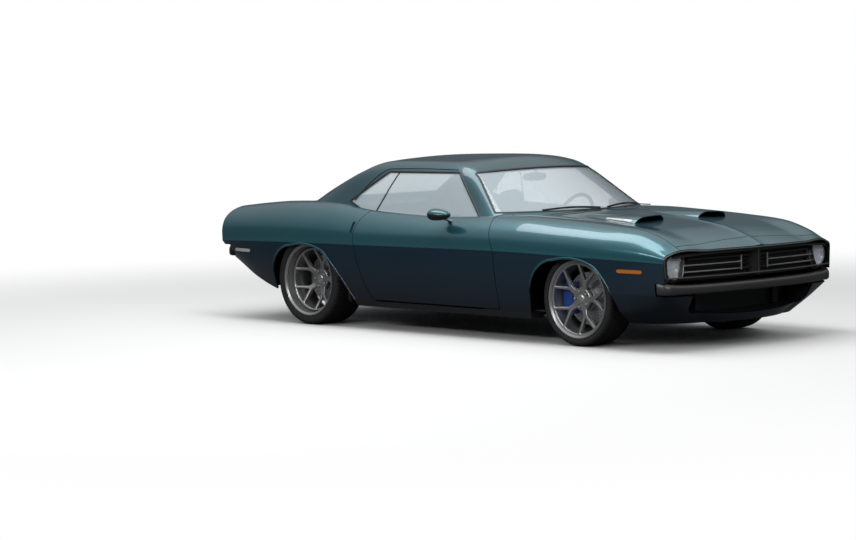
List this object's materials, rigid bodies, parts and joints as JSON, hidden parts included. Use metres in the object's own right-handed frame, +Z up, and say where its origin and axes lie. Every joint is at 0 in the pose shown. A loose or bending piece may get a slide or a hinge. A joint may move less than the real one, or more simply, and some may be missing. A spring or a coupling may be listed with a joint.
{
  "type": "muscle car",
  "caption": "Two-door hardtop muscle car with a long bonnet, hood scoops, steered wheels, opening doors, bonnet and boot lid.",
  "frame": {"origin": "on the ground, on the centreline, half-way along the car", "axes": "+X to the front of the car, +Y to its left, +Z up"},
  "size_m": [4.7368, 2.044, 1.2679],
  "materials": {
    "tyre_rubber": "matt black rubber",
    "wheel_metal": "satin gunmetal",
    "disc_iron": "turned iron",
    "body_paint": "dark teal metallic paint",
    "glass": "clear glass",
    "suspension_metal": "satin black",
    "caliper_blue": "blue paint",
    "dark_trim": "satin black",
    "bumper_metal": "satin dark grey",
    "headlamp_glass": "clear lens",
    "tail_lens": "red lens",
    "marker_lens": "amber lens",
    "engine_metal": "cast iron",
    "exhaust_steel": "brushed steel",
    "tank_steel": "coated steel",
    "seat_leather": "black leather"
  },
  "bodies": {
    "chassis": {"roof": "body_paint", "nose_panel": "body_paint", "fenders": "body_paint", "quarter_panels": "body_paint", "cowl": "body_paint", "front_valance": "body_paint", "rear_valance": "body_paint", "windscreen": "glass", "rear_window": "glass", "quarter_glass": "glass", "grille": "dark_trim", "tail_panel": "dark_trim", "floor_pan": "dark_trim", "bulkhead": "dark_trim", "wheel_tubs": "dark_trim", "dashboard": "dark_trim", "front_bumper": "bumper_metal", "rear_bumper": "bumper_metal", "headlamps": "headlamp_glass", "tail_lamps": "tail_lens", "side_markers": "marker_lens", "engine": "engine_metal", "front_frame": "suspension_metal", "rear_axle": "suspension_metal", "leaf_springs": "suspension_metal", "rear_calipers": "caliper_blue", "exhaust": "exhaust_steel", "fuel_tank": "tank_steel", "front_seats": "seat_leather", "rear_seat": "seat_leather"},
    "hood_lid": {"hood": "body_paint"},
    "boot": {"boot_lid": "body_paint"},
    "helm": {"steering_wheel": "dark_trim"},
    "upright_right": {"knuckle_right": "suspension_metal", "caliper_front_right": "caliper_blue"},
    "wheel_front_right": {"tyre_front_right": "tyre_rubber", "rim_front_right": "wheel_metal", "disc_front_right": "disc_iron"},
    "wheel_rear_right": {"tyre_rear_right": "tyre_rubber", "rim_rear_right": "wheel_metal", "disc_rear_right": "disc_iron"},
    "door_right": {"door_right": "body_paint", "door_glass_right": "glass", "mirror_right": "body_paint"},
    "upright_left": {"knuckle_left": "suspension_metal", "caliper_front_left": "caliper_blue"},
    "wheel_front_left": {"tyre_front_left": "tyre_rubber", "rim_front_left": "wheel_metal", "disc_front_left": "disc_iron"},
    "wheel_rear_left": {"tyre_rear_left": "tyre_rubber", "rim_rear_left": "wheel_metal", "disc_rear_left": "disc_iron"},
    "door_left": {"door_left": "body_paint", "door_glass_left": "glass", "mirror_left": "body_paint"}
  },
  "joints": [
    {"name": "steer_right", "type": "hinge", "parent": "chassis", "child": "upright_right", "pos_m": [1.429, -0.64, 0.324], "axis": [0, 0, 1], "range_deg": [-30, 30]},
    {"name": "spin_front_right", "type": "hinge", "parent": "upright_right", "child": "wheel_front_right", "pos_m": [1.429, -0.75, 0.324], "axis": [0, 1, 0], "continuous": true},
    {"name": "spin_rear_right", "type": "hinge", "parent": "chassis", "child": "wheel_rear_right", "pos_m": [-1.314, -0.75, 0.337], "axis": [0, 1, 0], "continuous": true},
    {"name": "door_hinge_right", "type": "hinge", "parent": "chassis", "child": "door_right", "pos_m": [0.727, -0.951, 0.5], "axis": [0, 0, 1], "range_deg": [0, 62]},
    {"name": "steer_left", "type": "hinge", "parent": "chassis", "child": "upright_left", "pos_m": [1.429, 0.64, 0.324], "axis": [0, 0, 1], "range_deg": [-30, 30]},
    {"name": "spin_front_left", "type": "hinge", "parent": "upright_left", "child": "wheel_front_left", "pos_m": [1.429, 0.75, 0.324], "axis": [0, 1, 0], "continuous": true},
    {"name": "spin_rear_left", "type": "hinge", "parent": "chassis", "child": "wheel_rear_left", "pos_m": [-1.314, 0.75, 0.337], "axis": [0, 1, 0], "continuous": true},
    {"name": "door_hinge_left", "type": "hinge", "parent": "chassis", "child": "door_left", "pos_m": [0.727, 0.951, 0.5], "axis": [0, 0, -1], "range_deg": [0, 62]},
    {"name": "hood_hinge", "type": "hinge", "parent": "chassis", "child": "hood_lid", "pos_m": [0.687, 0, 0.885], "axis": [0, -1, 0], "range_deg": [0, 50]},
    {"name": "boot_hinge", "type": "hinge", "parent": "chassis", "child": "boot", "pos_m": [-1.652, 0, 0.906], "axis": [0, 1, 0], "range_deg": [0, 60]},
    {"name": "helm_turn", "type": "hinge", "parent": "chassis", "child": "helm", "pos_m": [0.249, 0.37, 0.79], "axis": [-0.9389, 0, 0.3443], "range_deg": [-450, 450]}
  ],
  "couplings": [
    {"joint": "steer_left", "follows": "steer_right", "ratio": 1},
    {"joint": "helm_turn", "follows": "steer_right", "ratio": 15}
  ]
}
